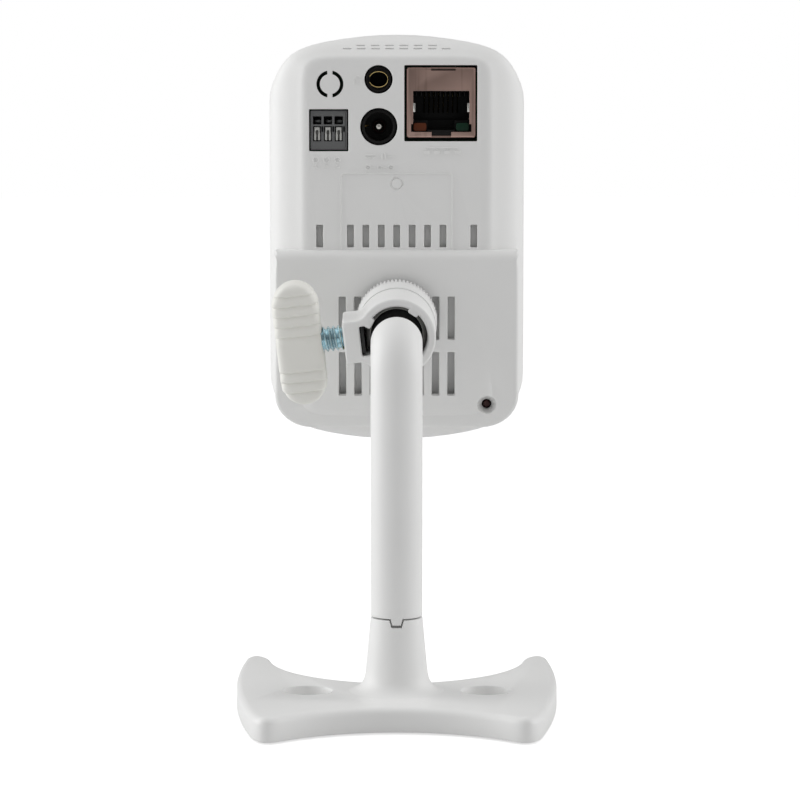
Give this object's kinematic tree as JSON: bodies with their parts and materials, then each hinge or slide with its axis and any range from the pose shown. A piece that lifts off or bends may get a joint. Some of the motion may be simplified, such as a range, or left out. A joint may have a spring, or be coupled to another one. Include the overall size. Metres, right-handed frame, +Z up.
{
  "type": "security camera",
  "caption": "Compact indoor network security camera on a ball-jointed desk and wall stand, with a clamping thumb screw and rear sockets.",
  "frame": {"origin": "the flat underside of the base's pad, on the axis of the stand's post", "axes": "+Z up along the post; +Y is where the lens looks; the sockets face -Y; +X is to the right when seen from behind the camera"},
  "size_m": [0.0672, 0.103, 0.1397],
  "materials": {
    "white_plastic": "fine satin moulded surface",
    "motion_plastic": "milky moulded lens",
    "knob_plastic": "satin, slightly warmer than the housing",
    "foot_rubber": "matt",
    "ballast_steel": "zinc plated",
    "screw_steel": "bright",
    "ball_black": "black satin",
    "liner_nylon": "smooth",
    "thread_zinc": "blue zinc plated thread",
    "insert_brass": "machined",
    "shield_metal": "stamped tinned sheet",
    "socket_black": "satin",
    "light_amber": "tinted",
    "light_green": "tinted",
    "contact_gold": "plated",
    "pin_nickel": "polished",
    "terminal_grey": "satin",
    "lever_grey": "satin",
    "reset_red": "satin",
    "board_green": "solder mask",
    "heat_metal": "anodised",
    "sensor_glass": "glassy",
    "optic_glass": "coated glass, dark",
    "bezel_metal": "satin chrome",
    "window_black": "gloss"
  },
  "bodies": {
    "stand": {"base_plate": "white_plastic", "foot_pad": "foot_rubber", "ballast_plate": "ballast_steel", "arm_screw": "screw_steel", "arm_tube": "white_plastic", "ball_stud": "ball_black"},
    "pan_cup": {"liner_cup": "liner_nylon"},
    "tilt_ring": {"liner_ring": "liner_nylon"},
    "head": {"clamp_socket": "white_plastic", "clamp_insert": "insert_brass", "mount_stud": "screw_steel", "tripod_insert": "insert_brass", "rear_cover": "white_plastic", "front_shell": "white_plastic", "vent_baffle": "white_plastic", "network_shield": "shield_metal", "network_insert": "socket_black", "network_light_amber": "light_amber", "network_light_green": "light_green", "power_jack": "socket_black", "power_pin": "pin_nickel", "audio_jack": "socket_black", "audio_contact": "contact_gold", "terminal_body": "terminal_grey", "reset_switch": "socket_black", "main_board": "board_green", "board_screw_1": "screw_steel", "board_screw_2": "screw_steel", "board_screw_3": "screw_steel", "board_screw_4": "screw_steel", "processor": "socket_black", "heat_spreader": "heat_metal", "sensor_board": "board_green", "image_sensor": "sensor_glass", "board_link": "socket_black", "lens_holder": "socket_black", "lens_barrel": "socket_black", "lens_glass": "optic_glass", "lens_bezel": "bezel_metal", "front_window": "window_black", "motion_lens": "motion_plastic", "lamp_lens": "optic_glass", "status_light": "light_green", "microphone": "socket_black", "speaker": "socket_black"},
    "pad_carriage": {"pressure_pad": "ball_black"},
    "thumb_screw": {"clamp_screw": "thread_zinc", "clamp_knob": "knob_plastic"},
    "washer_carriage": {"lock_washer": "foot_rubber"},
    "lock_nut": {"lock_ring": "white_plastic"},
    "lever_1": {"terminal_lever_1": "lever_grey"},
    "lever_2": {"terminal_lever_2": "lever_grey"},
    "lever_3": {"terminal_lever_3": "lever_grey"},
    "reset_pin": {"reset_plunger": "reset_red"}
  },
  "joints": [
    {"name": "head_pan", "type": "hinge", "parent": "stand", "child": "pan_cup", "pos_m": [0, 0.01559, 0.07808], "axis": [0, 0, 1], "range_deg": [-14, 14]},
    {"name": "head_tilt", "type": "hinge", "parent": "pan_cup", "child": "tilt_ring", "pos_m": [0, 0.01559, 0.07808], "axis": [1, 0, 0], "range_deg": [-14, 14]},
    {"name": "head_roll", "type": "hinge", "parent": "tilt_ring", "child": "head", "pos_m": [0, 0.01559, 0.07808], "axis": [0, 0.9945, 0.1045], "range_deg": [-90, 90]},
    {"name": "pad_slide", "type": "slide", "parent": "head", "child": "pad_carriage", "axis": [-0.9936, 0.0118, -0.1126], "range_m": [0, 0.00088]},
    {"name": "knob_turn", "type": "hinge", "parent": "pad_carriage", "child": "thumb_screw", "pos_m": [0, 0.01559, 0.07808], "axis": [-0.9936, 0.0118, -0.1126], "range_deg": [0, 300]},
    {"name": "washer_slide", "type": "slide", "parent": "head", "child": "washer_carriage", "axis": [0, -0.9945, -0.1045], "range_m": [0, 0.000385]},
    {"name": "lock_ring_turn", "type": "hinge", "parent": "washer_carriage", "child": "lock_nut", "pos_m": [0, 0.01559, 0.07808], "axis": [0, -0.9945, -0.1045], "range_deg": [0, 110]},
    {"name": "lever_1_press", "type": "slide", "parent": "head", "child": "lever_1", "axis": [0, 1, 0], "range_m": [0, 0.001], "stiffness_N_per_m": 500, "springref_m": -0.0004},
    {"name": "lever_2_press", "type": "slide", "parent": "head", "child": "lever_2", "axis": [0, 1, 0], "range_m": [0, 0.001], "stiffness_N_per_m": 500, "springref_m": -0.0004},
    {"name": "lever_3_press", "type": "slide", "parent": "head", "child": "lever_3", "axis": [0, 1, 0], "range_m": [0, 0.001], "stiffness_N_per_m": 500, "springref_m": -0.0004},
    {"name": "reset_press", "type": "slide", "parent": "head", "child": "reset_pin", "axis": [0, 1, 0], "range_m": [0, 0.0004], "stiffness_N_per_m": 900, "springref_m": -0.0003}
  ],
  "couplings": [
    {"joint": "knob_turn", "follows": "pad_slide", "rad_per_m": 5927.5},
    {"joint": "lock_ring_turn", "follows": "washer_slide", "rad_per_m": 4947.4}
  ]
}
